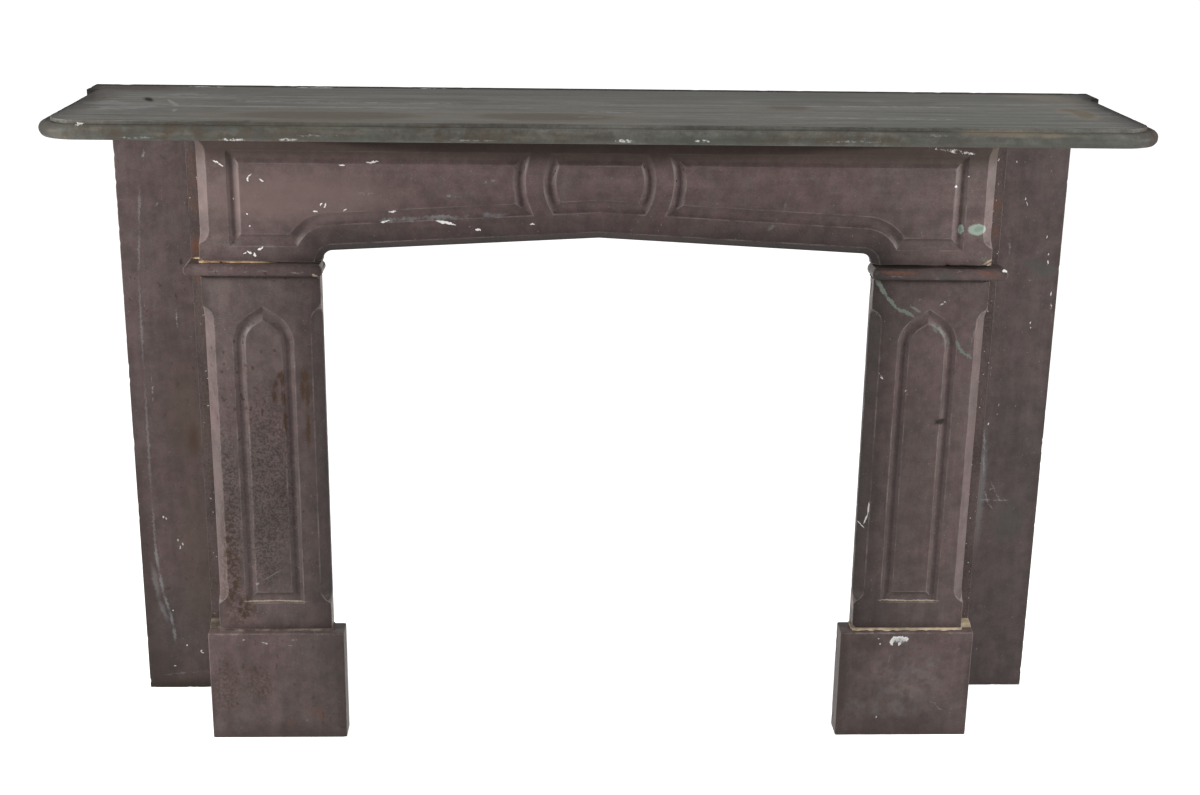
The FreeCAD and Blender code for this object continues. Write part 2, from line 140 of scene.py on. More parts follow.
class Graph:
    """Adds and links the nodes of one material."""

    def __init__(self, name):
        self.material = bpy.data.materials.new(name)
        self.material.use_nodes = True
        self.tree = self.material.node_tree
        self.tree.nodes.clear()
        self.place = self.add("ShaderNodeTexCoord").outputs["Object"]

    def add(self, kind, **settings):
        node = self.tree.nodes.new(kind)
        for key, value in settings.items():
            setattr(node, key, value)
        return node

    def feed(self, socket, value):
        if isinstance(value, bpy.types.NodeSocket):
            self.tree.links.new(value, socket)
        else:
            socket.default_value = value

    def math(self, operation, first, second):
        node = self.add("ShaderNodeMath", operation=operation)
        self.feed(node.inputs[0], first)
        self.feed(node.inputs[1], second)
        return node.outputs[0]

    def times(self, first, *others):
        for other in others:
            first = self.math("MULTIPLY", first, other)
        return first

    def largest(self, values):
        result = values[0]
        for value in values[1:]:
            result = self.math("MAXIMUM", result, value)
        return result

    def step(self, value, low, high, to_low=0.0, to_high=1.0):
        """Smooth step of a value between two limits."""
        node = self.add("ShaderNodeMapRange", interpolation_type="SMOOTHSTEP")
        self.feed(node.inputs["Value"], value)
        self.feed(node.inputs["From Min"], low)
        self.feed(node.inputs["From Max"], high)
        self.feed(node.inputs["To Min"], to_low)
        self.feed(node.inputs["To Max"], to_high)
        return node.outputs["Result"]

    def mix(self, factor, first, second, blend="MIX"):
        node = self.add("ShaderNodeMix", data_type="RGBA", blend_type=blend)
        self.feed(node.inputs["Factor"], factor)
        self.feed(node.inputs["A"], colour(first))
        self.feed(node.inputs["B"], colour(second))
        return node.outputs["Result"]

    def moved(self, vector, location=(0, 0, 0), rotation=(0, 0, 0), scale=(1, 1, 1), kind="POINT"):
        node = self.add("ShaderNodeMapping", vector_type=kind)
        self.feed(node.inputs["Vector"], vector)
        node.inputs["Location"].default_value = location
        node.inputs["Rotation"].default_value = rotation
        node.inputs["Scale"].default_value = scale
        return node.outputs["Vector"]

    def noise(self, vector, scale, detail=3.0, roughness=0.55, output="Fac"):
        node = self.add("ShaderNodeTexNoise")
        self.feed(node.inputs["Vector"], vector)
        node.inputs["Scale"].default_value = scale
        node.inputs["Detail"].default_value = detail
        node.inputs["Roughness"].default_value = roughness
        return node.outputs[output]

    def attribute(self, name):
        return self.add("ShaderNodeAttribute", attribute_name=name).outputs["Fac"]

    def shaken(self, vector, scale, amount):
        """Moves coordinates by noise, so that what they draw has a ragged outline."""
        cloud = self.noise(vector, scale, 2.0, 0.6, "Color")
        centred = self.add("ShaderNodeVectorMath", operation="SUBTRACT")
        self.feed(centred.inputs[0], cloud)
        centred.inputs[1].default_value = (0.5, 0.5, 0.5)
        grown = self.add("ShaderNodeVectorMath", operation="MULTIPLY_ADD")
        self.feed(grown.inputs[0], centred.outputs[0])
        grown.inputs[1].default_value = (amount, amount, amount)
        self.feed(grown.inputs[2], vector)
        return grown.outputs[0]

    def spot(self, vector, middle, half_size, turn, core):
        """1 in an oval's core and 0 outside it. The core is a share of the oval."""
        local = self.moved(vector, middle, turn, half_size, "TEXTURE")
        length = self.add("ShaderNodeVectorMath", operation="LENGTH")
        self.feed(length.inputs[0], local)
        return self.step(length.outputs["Value"], 1.0, core)

    def finish(self, base, roughness, height, bump_distance, specular):
        shader = self.add("ShaderNodeBsdfPrincipled")
        self.feed(shader.inputs["Base Color"], base)
        self.feed(shader.inputs["Roughness"], roughness)
        shader.inputs["Specular IOR Level"].default_value = specular
        bump = self.add("ShaderNodeBump")
        bump.inputs["Strength"].default_value = 1.0
        bump.inputs["Distance"].default_value = bump_distance
        self.feed(bump.inputs["Height"], height)
        self.feed(shader.inputs["Normal"], bump.outputs["Normal"])
        output = self.add("ShaderNodeOutputMaterial")
        self.feed(output.inputs["Surface"], shader.outputs["BSDF"])
        return self.material


def colour(value):
    if isinstance(value, tuple) and len(value) == 3:
        return (*value, 1.0)
    return value


# Marks on the slabs, in millimetres: chips, scratches, stains and veins, and painted shadow, shade and light

DEEP = 1000
TALL = 20000
STROKE_OVERLAP = 1.35


def oval(x, z, length, width, turn=0.0):
    """Mark on an upright face: its middle, its size and its turn in degrees."""
    return placed((x, 0, z), (length, DEEP, width), (0, -turn, 0))


def flat_oval(x, y, length, width, turn=0.0):
    """Mark on the shelf's top."""
    return placed((x, y, 0), (length, width, TALL), (0, 0, turn))


def placed(middle, size, turn):
    place = tuple(part * MM for part in middle)
    half_size = tuple(part * MM / 2 for part in size)
    return place, half_size, tuple(math.radians(part) for part in turn)


def stroke(points, width, shape=oval):
    """Marks in a row along a line of points."""
    spots = []
    for first, last in zip(points, points[1:]):
        run = Vector(last) - Vector(first)
        middle = (Vector(last) + Vector(first)) / 2
        turn = math.degrees(math.atan2(run.y, run.x))
        spots.append(shape(middle.x, middle.y, STROKE_OVERLAP * run.length, width, turn))
    return spots


CHALK = (0.82, 0.81, 0.78)
MILKY = (0.27, 0.275, 0.28)
SCUFF = (0.21, 0.185, 0.175)
PALE_GREEN = (0.30, 0.375, 0.315)
MID_GREEN = (0.20, 0.265, 0.215)
VEIN_GREEN = (0.135, 0.158, 0.134)
MOSS = (0.058, 0.062, 0.055)
BROWN = (0.052, 0.031, 0.020)
DARK = (0.014, 0.012, 0.011)
CREAM = (0.46, 0.39, 0.28)
TAN = (0.24, 0.205, 0.15)
UMBER = (0.185, 0.160, 0.125)
RUST = (0.135, 0.058, 0.036)
ROSE = (0.185, 0.128, 0.118)
SHADE = (0.034, 0.024, 0.019)
# Painted shadow: the shelf's shadow across the top of the frieze, and shade along the shelf's back arris
PAINTED_SHADOW = (0.046, 0.032, 0.023)
LEAD = (0.105, 0.108, 0.094)
DULL = (0.085, 0.083, 0.073)
EARTH = (0.092, 0.066, 0.046)
PALE = (0.36, 0.355, 0.33)

# Tints whose marks have hard edges
CRISP = (CHALK, CREAM, PALE, PAINTED_SHADOW, PALE_GREEN, MID_GREEN, VEIN_GREEN)

# Each group of marks: tint, strength, raggedness in millimetres, scale of its grain or 0, ovals
MARKS = {
    "shelf": [
        (LEAD, 0.7, 2, 0, [oval(0, 985, 9000, 26)]),
        (DULL, 0.6, 4, 50, [oval(0, 988, 9000, 26)]),
        (EARTH, 0.6, 6, 34, [oval(-560, 988, 760, 44), oval(-180, 987, 560, 38), oval(330, 986, 460, 28)]),
        # The back of the shelf's top darker than its front: painted sheen
        (DULL, 0.6, 10, 0, [flat_oval(0, 150, 9000, 190)]),
        (DULL, 0.6, 14, 9, [flat_oval(-200, 40, 900, 90), flat_oval(420, 60, 700, 110)]),
        (BROWN, 0.7, 20, 0, [flat_oval(-755, 20, 170, 360), flat_oval(-690, 150, 260, 110)]),
        (MILKY, 0.7, 12, 25, [flat_oval(-655, -50, 160, 70, 30), flat_oval(-700, -5, 110, 60),
                              flat_oval(-600, 80, 110, 40)]),
        (UMBER, 0.8, 12, 0, [flat_oval(-380, -115, 560, 170), flat_oval(-80, -110, 420, 150),
                              flat_oval(270, 0, 140, 80)]),
        (PALE, 0.9, 2, 0, stroke([(-616, 20), (-593, -36)], 8, flat_oval)
         + stroke([(-596, -36), (-510, -36), (-423, -36), (-330, -35), (-242, -34)], 14, flat_oval)),
        (PALE, 0.6, 4, 40, stroke([(-520, 20), (-380, 14), (-200, 12)], 14, flat_oval)
         + stroke([(300, 20), (420, 22), (520, 24)], 14, flat_oval)
         + stroke([(260, -95), (380, -97), (480, -98)], 14, flat_oval)
         + stroke([(-590, -55), (-588, -95)], 6, flat_oval)),
        (PALE, 0.5, 4, 90, stroke([(-20, -55), (38, -60)], 16, flat_oval)
         + stroke([(-38, -107), (-5, -106)], 18, flat_oval)),
        (TAN, 0.6, 6, 60, stroke([(30, -24), (140, -18), (240, -12)], 18, flat_oval)),
        (TAN, 0.85, 6, 0, [flat_oval(685, -40, 56, 150, -8), flat_oval(676, 0, 60, 70)]),
        (TAN, 0.65, 8, 0, [flat_oval(690, 125, 120, 90), flat_oval(716, 85, 70, 60),
                           flat_oval(650, 148, 110, 50)]),
        (TAN, 0.8, 2, 0, [oval(545, 995, 170, 10), oval(500, 996, 90, 7), oval(600, 994, 70, 9)]),
        (DARK, 0.95, 2, 0, [flat_oval(-646, 26, 20, 74, 20)]),
        # Darker along the shelf's back arris: painted shade, with dark chips
        (PAINTED_SHADOW, 0.9, 6, 0, [flat_oval(-300, 208, 9000, 90)]),
        (DARK, 0.9, 6, 0, [flat_oval(-300, 208, 9000, 80)]),
        (CHALK, 0.7, 5, 90, [flat_oval(-590, 170, 60, 14), flat_oval(-420, 172, 80, 14),
                             flat_oval(-250, 174, 50, 12)]),
        # Painted shade: both ends of the shelf's nose, and the top by its right end
        (DARK, 0.9, 8, 0, [oval(775, 985, 190, 170), oval(-778, 985, 170, 170)]),
        (SHADE, 0.6, 10, 0, [flat_oval(755, -150, 100, 140)]),
        (CHALK, 0.8, 2, 260, [oval(-493, 979, 40, 5), oval(-420, 980, 28, 5), oval(23, 982, 36, 5),
                              oval(128, 983, 24, 5)]),
        (UMBER, 0.8, 5, 30, [oval(538, 992, 130, 9), oval(-670, 993, 80, 10), oval(-560, 986, 140, 9),
                           oval(-330, 990, 170, 8), oval(-90, 986, 160, 8), oval(240, 991, 150, 8)]),
        (PALE, 0.6, 2, 120, [oval(-620, 981, 60, 3), oval(-380, 986, 70, 2.5), oval(-180, 981, 80, 3),
                             oval(330, 984, 90, 3), oval(440, 993, 40, 2.5)]),
        (CHALK, 0.85, 2, 0, [oval(-693, 997, 13, 2.5)]),
    ],
    "frieze": [
        # Painted shadow of the shelf across the top of the frieze
        (PAINTED_SHADOW, 0.72, 1.5, 0, [oval(40, 1000, 9000, 184)]),
        # Lighter, redder left end of the frieze: painted light, with a redder tone
        (ROSE, 0.6, 14, 0, [oval(-450, 865, 420, 110)]),
        # Painted shade of the recessed joint over the right capital, along the frieze's lower edge
        (DARK, 0.9, 0.5, 0, stroke([(415, 769), (500, 769), (578, 769)], 5)),
        (CHALK, 0.95, 2, 0, [
            oval(-553, 916, 10, 3, -25), oval(-546, 911, 8, 2.5, -35), oval(-506, 896, 7, 3, 35),
            oval(-508, 891, 2.5, 7), oval(-489, 890, 7, 2, -40), oval(-372, 912, 10, 2.5),
            oval(-328, 917, 20, 2.5, 8),
            oval(-398, 853, 9, 2.5, 68), oval(-404, 855, 7, 2, 70), oval(-413, 844, 8, 2),
            oval(-370, 847, 8, 2, 35), oval(-302, 844, 13, 3), oval(-312, 830, 14, 2.5, 10),
            oval(-224, 829, 32, 4, -12), oval(-177, 819, 8, 3), oval(-98, 828, 8, 2.5),
            oval(-511, 783, 9, 3, -20), oval(-503, 780, 3, 7, 20), oval(-517, 782, 5, 2.5, 30),
            oval(-494, 789, 9, 2.5, 30), oval(522, 888, 4, 4, 30), oval(539, 903, 2.5, 2.5),
            oval(-512, 840, 2, 2), oval(-508, 822, 2, 2), oval(-531, 862, 2, 2)]),
        (CHALK, 0.75, 3, 150, stroke([(476, 948), (505, 941), (542, 936)], 5)),
        (MILKY, 0.5, 6, 30, stroke([(-325, 831), (-260, 835), (-200, 838), (-135, 842)], 8)),
        (MILKY, 0.55, 4, 160, [oval(-338, 871, 28, 4, 3), oval(-215, 868, 34, 5, -4),
                               oval(-160, 890, 22, 5, 12), oval(-440, 962, 30, 3, -25)]),
        (PALE_GREEN, 0.9, 1.5, 0, [oval(558, 824, 30, 19), oval(534, 824, 9, 17)]),
        (MID_GREEN, 0.8, 2.5, 0, [oval(560, 825, 17, 9, 15), oval(535, 823, 4, 8)]),
        (VEIN_GREEN, 0.6, 4, 80, stroke([(283, 890), (276, 870), (270, 850)], 4)
         + stroke([(250, 822), (262, 836)], 5) + [oval(577, 782, 20, 8, 35)]),
        (CREAM, 0.85, 1.5, 0, stroke([(571, 770), (584, 780)], 3.5) + stroke([(577, 770), (585, 774)], 3)),
        (RUST, 0.5, 8, 40, [oval(-566, 770, 34, 6), oval(575, 772, 14, 8)]),
    ],
    "pilaster_left": [
        (BROWN, 0.95, 2.5, 0, stroke([(-470, 602), (-478, 590), (-484, 574), (-483, 552)], 10)
         + stroke([(-470, 603), (-471, 575), (-469, 545), (-468, 500)], 9)),
        (BROWN, 0.95, 3, 0, stroke([(-438, 606), (-437, 582)], 20)
         + stroke([(-441, 592), (-441, 556)], 10) + stroke([(-433, 590), (-434, 540), (-435, 480)], 10)),
        (DARK, 0.62, 10, 290, [oval(-496, 430, 110, 420), oval(-505, 320, 80, 200),
                               oval(-556, 370, 46, 440)]),
        (BROWN, 0.75, 2.5, 0, [
            oval(-574, 636, 5, 9), oval(-556, 631, 6, 9), oval(-576, 609, 4, 8), oval(-556, 613, 5, 7),
            oval(-525, 611, 7, 9), oval(-514, 607, 8, 11), oval(-500, 632, 5, 7), oval(-481, 634, 6, 6),
            oval(-570, 528, 5, 13), oval(-565, 503, 4, 10, 60), oval(-543, 542, 6, 10),
            oval(-526, 543, 6, 9), oval(-502, 541, 6, 8), oval(-498, 556, 5, 8), oval(-540, 648, 5, 8),
            oval(-526, 655, 5, 7)]),
        (BROWN, 0.9, 5, 140, [oval(-562, 290, 46, 300), oval(-545, 215, 60, 70)]),
        (MILKY, 0.8, 1.5, 0, [oval(-522, 258, 8, 5, 20), oval(-552, 666, 3, 2, 30)]),
        (SCUFF, 0.6, 2, 0, stroke([(-516, 262), (-484, 282)], 2.5)),
        (CREAM, 0.5, 1, 0, stroke([(-541, 228), (-496, 229), (-452, 228)], 2.2)),
    ],
    "pilaster_right": [
        (VEIN_GREEN, 0.9, 4, 0, stroke([(410, 752), (430, 722), (446, 704), (472, 692)], 6.5)
         + stroke([(468, 707), (482, 698)], 4)
         + stroke([(541, 652), (546, 640), (556, 633), (564, 627)], 6)),
        (VEIN_GREEN, 0.75, 6, 70, stroke([(503, 678), (516, 664), (528, 648)], 13)),
        (DARK, 0.95, 3, 0, [oval(525, 525, 24, 14), oval(528, 524, 12, 10)]),
        (CHALK, 0.7, 2, 120, stroke([(512, 709), (524, 716)], 3) + stroke([(425, 604), (432, 594)], 2.5)
         + [oval(470, 572, 4, 7)]),
        (CHALK, 0.6, 0.8, 0, stroke([(424, 392), (423, 374), (419, 357)], 1.8)
         + stroke([(411, 357), (419, 350)], 1.8)),
        (CREAM, 0.55, 1, 0, stroke([(452, 229), (496, 228), (541, 228)], 2.2)),
        (SCUFF, 0.5, 3, 60, stroke([(575, 700), (560, 640)], 3)),
    ],
    "plinth_left": [
        (BROWN, 0.7, 3, 0, [
            oval(-548, 124, 5, 13), oval(-573, 128, 5, 8), oval(-530, 118, 7, 14), oval(-494, 141, 5, 14, 8),
            oval(-496, 124, 6, 16, -8), oval(-556, 110, 6, 9), oval(-585, 120, 4, 6), oval(-470, 92, 5, 10),
            oval(-520, 80, 5, 12), oval(-440, 70, 6, 12), oval(-560, 60, 6, 10)]),
        (SHADE, 0.45, 12, 0, [oval(-500, 0, 300, 80), oval(-392, 90, 34, 400), oval(-602, 60, 30, 140)]),
        (BROWN, 0.6, 3, 210, [oval(-575, 90, 60, 150), oval(-525, 95, 70, 100)]),
        (SCUFF, 0.7, 1.5, 60, stroke([(-602, 178.5), (-500, 178.5), (-398, 178.5)], 3.5)),
        (RUST, 0.35, 12, 50, [oval(-430, 40, 50, 40), oval(-470, 22, 40, 22)]),
        (CHALK, 0.4, 2, 150, [oval(-513, 164, 13, 2.5, -12), oval(-545, 169, 7, 2),
                              oval(-467, 169, 13, 2.5, 6), oval(-538, 148, 4, 3), oval(-470, 160, 14, 2, 8),
                              oval(-452, 30, 4, 3)]),
    ],
    "plinth_right": [
        (SHADE, 0.45, 12, 0, [oval(500, 0, 300, 110), oval(392, 100, 34, 400), oval(602, 100, 26, 200),
                              oval(430, 160, 80, 40)]),
        (SCUFF, 0.7, 1.5, 60, stroke([(602, 178.5), (500, 178.5), (398, 178.5)], 3.5)
         + stroke([(602, 170), (601, 20)], 2.5)),
        (CHALK, 0.85, 2.5, 0, [oval(484, 171, 27, 4), oval(472.5, 164, 17, 6, 80), oval(479, 168, 10, 6),
                               oval(485, 164, 14, 5, 70), oval(491, 168, 9, 6), oval(495, 167, 8, 3, 75)]),
        (MILKY, 0.6, 2, 0, [oval(484, 166, 30, 13)]),
        (MILKY, 0.12, 8, 40, [oval(500, 100, 160, 140), oval(470, 50, 160, 50)]),
        (ROSE, 0.3, 12, 20, [oval(450, 110, 110, 60), oval(520, 90, 120, 70)]),
        (CHALK, 0.7, 1.5, 0, [oval(453, 160, 2.5, 2.5), oval(450, 169, 4, 2), oval(455, 32, 2, 5, -15)]),
        (SCUFF, 0.5, 6, 60, stroke([(540, 60), (562, 42), (575, 38)], 4)
         + stroke([(470, 140), (468, 118)], 3) + [oval(575, 150, 22, 14, 30)]),
        (VEIN_GREEN, 0.4, 8, 60, [oval(540, 130, 22, 24), oval(505, 112, 16, 14)]),
    ],
    "capital_left": [
        (SCUFF, 0.7, 3, 120, [oval(-560, 758, 20, 4), oval(-515, 757, 12, 4), oval(-490, 759, 20, 4, -4),
                              oval(-440, 757, 30, 4), oval(-535, 763, 8, 3, 60)]),
        (CREAM, 0.7, 2, 0, [oval(-415, 752, 10, 4, -20)]),
    ],
    "capital_right": [
        # Painted shade of the recessed joint under the frieze, along the capital's top edge
        (DARK, 0.85, 0.5, 0, stroke([(405, 768.5), (500, 768.5), (586, 768.5)], 4)),
        (RUST, 0.75, 5, 0, [oval(442, 762, 78, 6, -2), oval(578, 760, 46, 9, -8)]),
        (CHALK, 0.9, 2, 0, [oval(600, 765, 9, 3.5, -15)]),
        (SCUFF, 0.6, 3, 120, [oval(440, 757, 30, 3), oval(530, 764, 20, 3), oval(500, 752, 14, 6, 60)]),
        (MOSS, 0.6, 8, 0, [oval(512, 756, 40, 18), oval(408, 762, 10, 14)]),
    ],
    "return_edges": [
        (RUST, 0.75, 6, 0, [oval(-590, 786, 26, 40), oval(-592, 741, 18, 18), oval(592, 178, 18, 30)]),
        (RUST, 0.4, 10, 40, [oval(-590, 870, 30, 160), oval(590, 840, 30, 120)]),
    ],
    "side_panel_left": [
        (SHADE, 0.25, 16, 0, [oval(-650, 500, 190, 460), oval(-650, 20, 220, 90)]),
        (SHADE, 0.6, 10, 0, [oval(-742, 210, 80, 560), oval(-730, 40, 120, 160)]),
        (EARTH, 0.35, 16, 0, [oval(-648, 480, 90, 240), oval(-640, 240, 120, 440)]),
        (BROWN, 0.75, 6, 0, [oval(-618, 470, 16, 170), oval(-640, 440, 30, 90)]),
        (BROWN, 0.75, 3, 0, [oval(-660, 531, 6, 16), oval(-668, 567, 5, 8), oval(-683, 481, 6, 10),
                             oval(-646, 505, 5, 9), oval(-634, 560, 4, 8)]),
        (MILKY, 0.5, 3, 0, stroke([(-713, 260), (-709, 210), (-704, 170), (-696, 140), (-691, 112),
                                   (-690, 84)], 8)),
        (MILKY, 0.3, 5, 0, stroke([(-720, 225), (-712, 160), (-700, 120)], 13)),
        (MILKY, 0.3, 4, 0, stroke([(-700, 850), (-704, 784), (-710, 712), (-712, 550), (-713, 336),
                                   (-712, 230)], 5)),
        (MILKY, 0.3, 4, 90, stroke([(-715, 24), (-650, 29), (-585, 30)], 5)),
        (CHALK, 0.6, 1.5, 0, [oval(-696, 306, 3, 5), oval(-692, 304, 2.5, 5), oval(-675, 266, 2.5, 5),
                              oval(-672, 253, 2.5, 8), oval(-668, 259, 2, 6)]),
        (MILKY, 0.7, 4, 150, [oval(-661, 760, 18, 4, 70), oval(-674, 824, 16, 5, 60),
                              oval(-691, 899, 20, 5, 80), oval(-655, 640, 4, 40), oval(-700, 520, 3, 70)]),
        (DARK, 0.8, 4, 0, [oval(-643, 731, 9, 16)]),
        (CHALK, 0.75, 1.5, 0, [oval(-690, 141, 2.5, 3.5), oval(-671, 78, 3, 2.5),
                               oval(-648, 67, 2.5, 5, -20), oval(-646, 64, 5, 2), oval(-693, 40, 4, 2),
                               oval(-607, 590, 3, 2.5), oval(-606, 480, 3, 4)]),
        (SHADE, 0.9, 3, 0, [oval(-655, 0, 9000, 50)]),
    ],
    "side_panel_right": [
        (MOSS, 0.75, 16, 0, [oval(712, 728, 60, 34, -12), oval(690, 738, 40, 18, 20)]),
        (MOSS, 0.45, 16, 0, [oval(690, 300, 80, 120)]),
        (CHALK, 0.65, 2, 0, [oval(653, 898, 2, 4), oval(675, 832, 1.8, 9, 10), oval(672, 840, 1.5, 4),
                             oval(711, 780, 2, 7, -8), oval(717, 739, 2, 8), oval(716, 752, 1.8, 3),
                             oval(726, 688, 2, 9), oval(729, 668, 1.8, 8, 12), oval(697, 640, 3, 4, 20),
                             oval(699, 632, 2, 3), oval(644, 470, 2, 4)]),
        (MILKY, 0.3, 6, 0, [oval(640, 360, 22, 300)]),
        (MILKY, 0.6, 3, 0, stroke([(638, 464), (641, 420), (643, 378)], 3.5)
         + stroke([(640, 337), (660, 337.5), (690, 337)], 3)
         + stroke([(647, 352), (655, 330), (664, 322)], 3)),
        (SCUFF, 0.75, 3, 120, stroke([(654, 372), (674, 337)], 4) + stroke([(645, 352), (668, 360)], 3)
         + stroke([(728, 672), (732, 640)], 4) + [oval(654, 766, 4, 50), oval(640, 560, 4, 60)]),
        (CREAM, 0.6, 1.5, 0, [oval(658, 502, 2.5, 5), oval(657, 486, 2, 3), oval(686, 500, 2.5, 2.5)]),
    ],
}


# Slate

PURPLE = {
    "warm": (0.112, 0.0765, 0.074),
    "cool": (0.098, 0.0735, 0.069),
    "film": (0.087, 0.076, 0.068),
    "dust": (0.26, 0.225, 0.205),
    "spot": (0.045, 0.024, 0.018),
    "worn": (0.235, 0.195, 0.180),
    "streak": 0.10,
    "gloss": 0.15,
}
GREEN = {
    "warm": (0.178, 0.173, 0.153),
    "cool": (0.146, 0.147, 0.129),
    "film": (0.162, 0.140, 0.110),
    "dust": (0.25, 0.245, 0.22),
    "spot": (0.022, 0.021, 0.017),
    "worn": (0.22, 0.21, 0.185),
    "streak": 0.36,
    "gloss": 0.03,
}
ASHEN = dict(PURPLE, warm=(0.110, 0.081, 0.078), cool=(0.098, 0.076, 0.073))
RAW_PURPLE = (0.115, 0.085, 0.078)
RAW_GREEN = (0.105, 0.105, 0.094)
EDGE_DARK = (0.044, 0.031, 0.028)
EDGE_LIGHT = (0.078, 0.054, 0.049)

# Stretch of noise: streaks along the height or the width of a slab, and drops
UPRIGHT = (1.0, 1.0, 0.12)
LYING = (0.06, 1.0, 1.0)
DROP_SHAPE = (1.0, 1.0, 0.65)

# Dirt beside the arrises, and how far from arrises, lips and broken edges wear starts and is full. The pale
# lines at the lips are painted highlight as well as wear.
DIRT_REACH = 16.0 * MM
WORN_ARRIS = (1.8 * MM, 0.3 * MM)
LIP_HIGHLIGHT_AND_WEAR = (1.9 * MM, 0.4 * MM)
WORN_EDGE = (4 * MM, 1 * MM)

# Outlines of marks: two shakes by noise, each a share of the raggedness, and the full core
COARSE_SCALE = 95.0
COARSE_SHARE = 1.5
FINE_SCALE = 300.0
FINE_SHARE = 2.5
FINE_MOST = 7.0
CRISP_CORE = 0.75
SOFT_CORE = 0.3
MARK_ROUGHNESS = 0.8


def shaded(tones, factor):
    """The same slate with its ground colours made lighter or darker, for a slab's own tone and for painted
    light and shade.
    """
    changed = dict(tones)
    for key in ("warm", "cool", "film"):
        changed[key] = tuple(part * factor for part in tones[key])
    return changed


def marked(graph, base, rough, marks):
    """Paints marks over a ground and dulls it there. Crisp tints have hard edges, others soft ones."""
    for tint, strength, ragged, fineness, spots in marks:
        vector = graph.shaken(graph.place, COARSE_SCALE, COARSE_SHARE * ragged * MM)
        vector = graph.shaken(vector, FINE_SCALE, min(FINE_MOST, FINE_SHARE * ragged) * MM)
        core = CRISP_CORE if tint in CRISP else SOFT_CORE
        cover = graph.times(graph.largest([graph.spot(vector, *spot, core) for spot in spots]), strength)
        if fineness:
            grain = graph.noise(graph.place, scale=fineness, detail=3.0, roughness=0.65)
            cover = graph.times(cover, graph.step(grain, 0.42, 0.60))
        base = graph.mix(cover, base, tint)
        rough = graph.math("MAXIMUM", rough, graph.times(cover, MARK_ROUGHNESS))
    return base, rough


def slate(name, tones, seed, streak, speckle, marks):
    """Rubbed and oiled slate: clouds, mottling, streaks, specks, soot, worn arrises, lips with painted
    highlight, and its marks, some of them painted shade and light.
    """
    graph = Graph(name)
    place = graph.moved(graph.place, location=seed)
    clouds = graph.noise(place, scale=4.5, detail=4.0)
    mottle = graph.noise(place, scale=42.0, detail=5.0, roughness=0.70)
    grain = graph.noise(place, scale=420.0, detail=3.0, roughness=0.6)
    streaks = graph.noise(graph.moved(place, scale=streak), scale=55.0, detail=5.0, roughness=0.65)

    base = graph.mix(graph.step(clouds, 0.36, 0.64), tones["cool"], tones["warm"])
    film = graph.noise(place, scale=70.0, detail=3.0, roughness=0.6)
    base = graph.mix(graph.times(graph.step(film, 0.44, 0.68), 0.4), base, tones["film"])
    swing = tones["streak"]
    level = graph.times(graph.step(mottle, 0.28, 0.72, 0.78, 1.22),
                        graph.step(streaks, 0.30, 0.70, 1.0 - swing, 1.0 + swing))
    level = graph.times(level, graph.step(grain, 0.25, 0.75, 0.88, 1.12))
    soot = graph.times(graph.attribute("soot"), graph.step(clouds, 0.3, 0.7, 0.66, 0.54))
    dirt = graph.step(graph.attribute("edge_gap"), 0.0, DIRT_REACH, 0.84, 1.0)
    level = graph.times(level, dirt, graph.math("SUBTRACT", 1.0, soot))
    base = graph.mix(1.0, base, level, "MULTIPLY")

    patches = graph.step(graph.noise(place, scale=8.0, detail=2.0), 0.42, 0.66)
    drops = graph.noise(graph.moved(place, scale=DROP_SHAPE), scale=170.0, detail=1.0)
    base = graph.mix(graph.times(graph.step(drops, 0.66, 0.71), patches, speckle), base, tones["spot"])
    flecks = graph.step(graph.noise(place, scale=270.0, detail=1.0), 0.75, 0.79)
    base = graph.mix(graph.times(flecks, 0.45), base, tones["dust"])

    rub = graph.noise(place, scale=30.0, detail=4.0, roughness=0.7)
    worn = graph.times(graph.step(graph.attribute("edge_gap"), *WORN_ARRIS),
                       graph.step(rub, 0.34, 0.66, 0.12, 0.7))
    base = graph.mix(worn, base, tones["worn"])
    # Pale lines along the lips of grooves and chamfers: painted highlight, with some wear
    lips = graph.times(graph.step(graph.attribute("lip_gap"), *LIP_HIGHLIGHT_AND_WEAR),
                       graph.step(rub, 0.36, 0.68, 0.03, 0.5))
    base = graph.mix(lips, base, tones["worn"])

    rough = graph.step(mottle, 0.25, 0.8, 0.42, 0.56)
    base, rough = marked(graph, base, rough, marks)
    height = graph.math("ADD", graph.times(grain, 0.3), graph.times(mottle, 0.7))
    return graph.finish(base, rough, height, bump_distance=0.16 * MM, specular=tones["gloss"])


def raw_slate(name, tint):
    """Sawn or riven slate on hidden faces: dull, dusty, with saw lines."""
    graph = Graph(name)
    lines = graph.moved(graph.place, scale=(1.0, 1.0, 7.0))
    clouds = graph.noise(graph.place, scale=9.0, detail=5.0, roughness=0.65)
    layers = graph.noise(lines, scale=30.0, detail=4.0, roughness=0.6)
    grain = graph.noise(graph.place, scale=350.0, detail=3.0, roughness=0.6)
    dark = tuple(0.62 * part for part in tint)
    dusty = tuple(0.5 * part + 0.11 for part in tint)
    base = graph.mix(graph.step(clouds, 0.35, 0.7), dark, tint)
    base = graph.mix(graph.times(graph.step(layers, 0.5, 0.75), 0.6), base, dusty)
    base = graph.mix(graph.times(graph.step(grain, 0.35, 0.75), 0.35), base, dusty)
    height = graph.math("ADD", graph.times(layers, 0.6), graph.times(grain, 0.4))
    rough = graph.step(grain, 0.2, 0.8, 0.7, 0.9)
    return graph.finish(base, rough, height, bump_distance=0.9 * MM, specular=0.25)


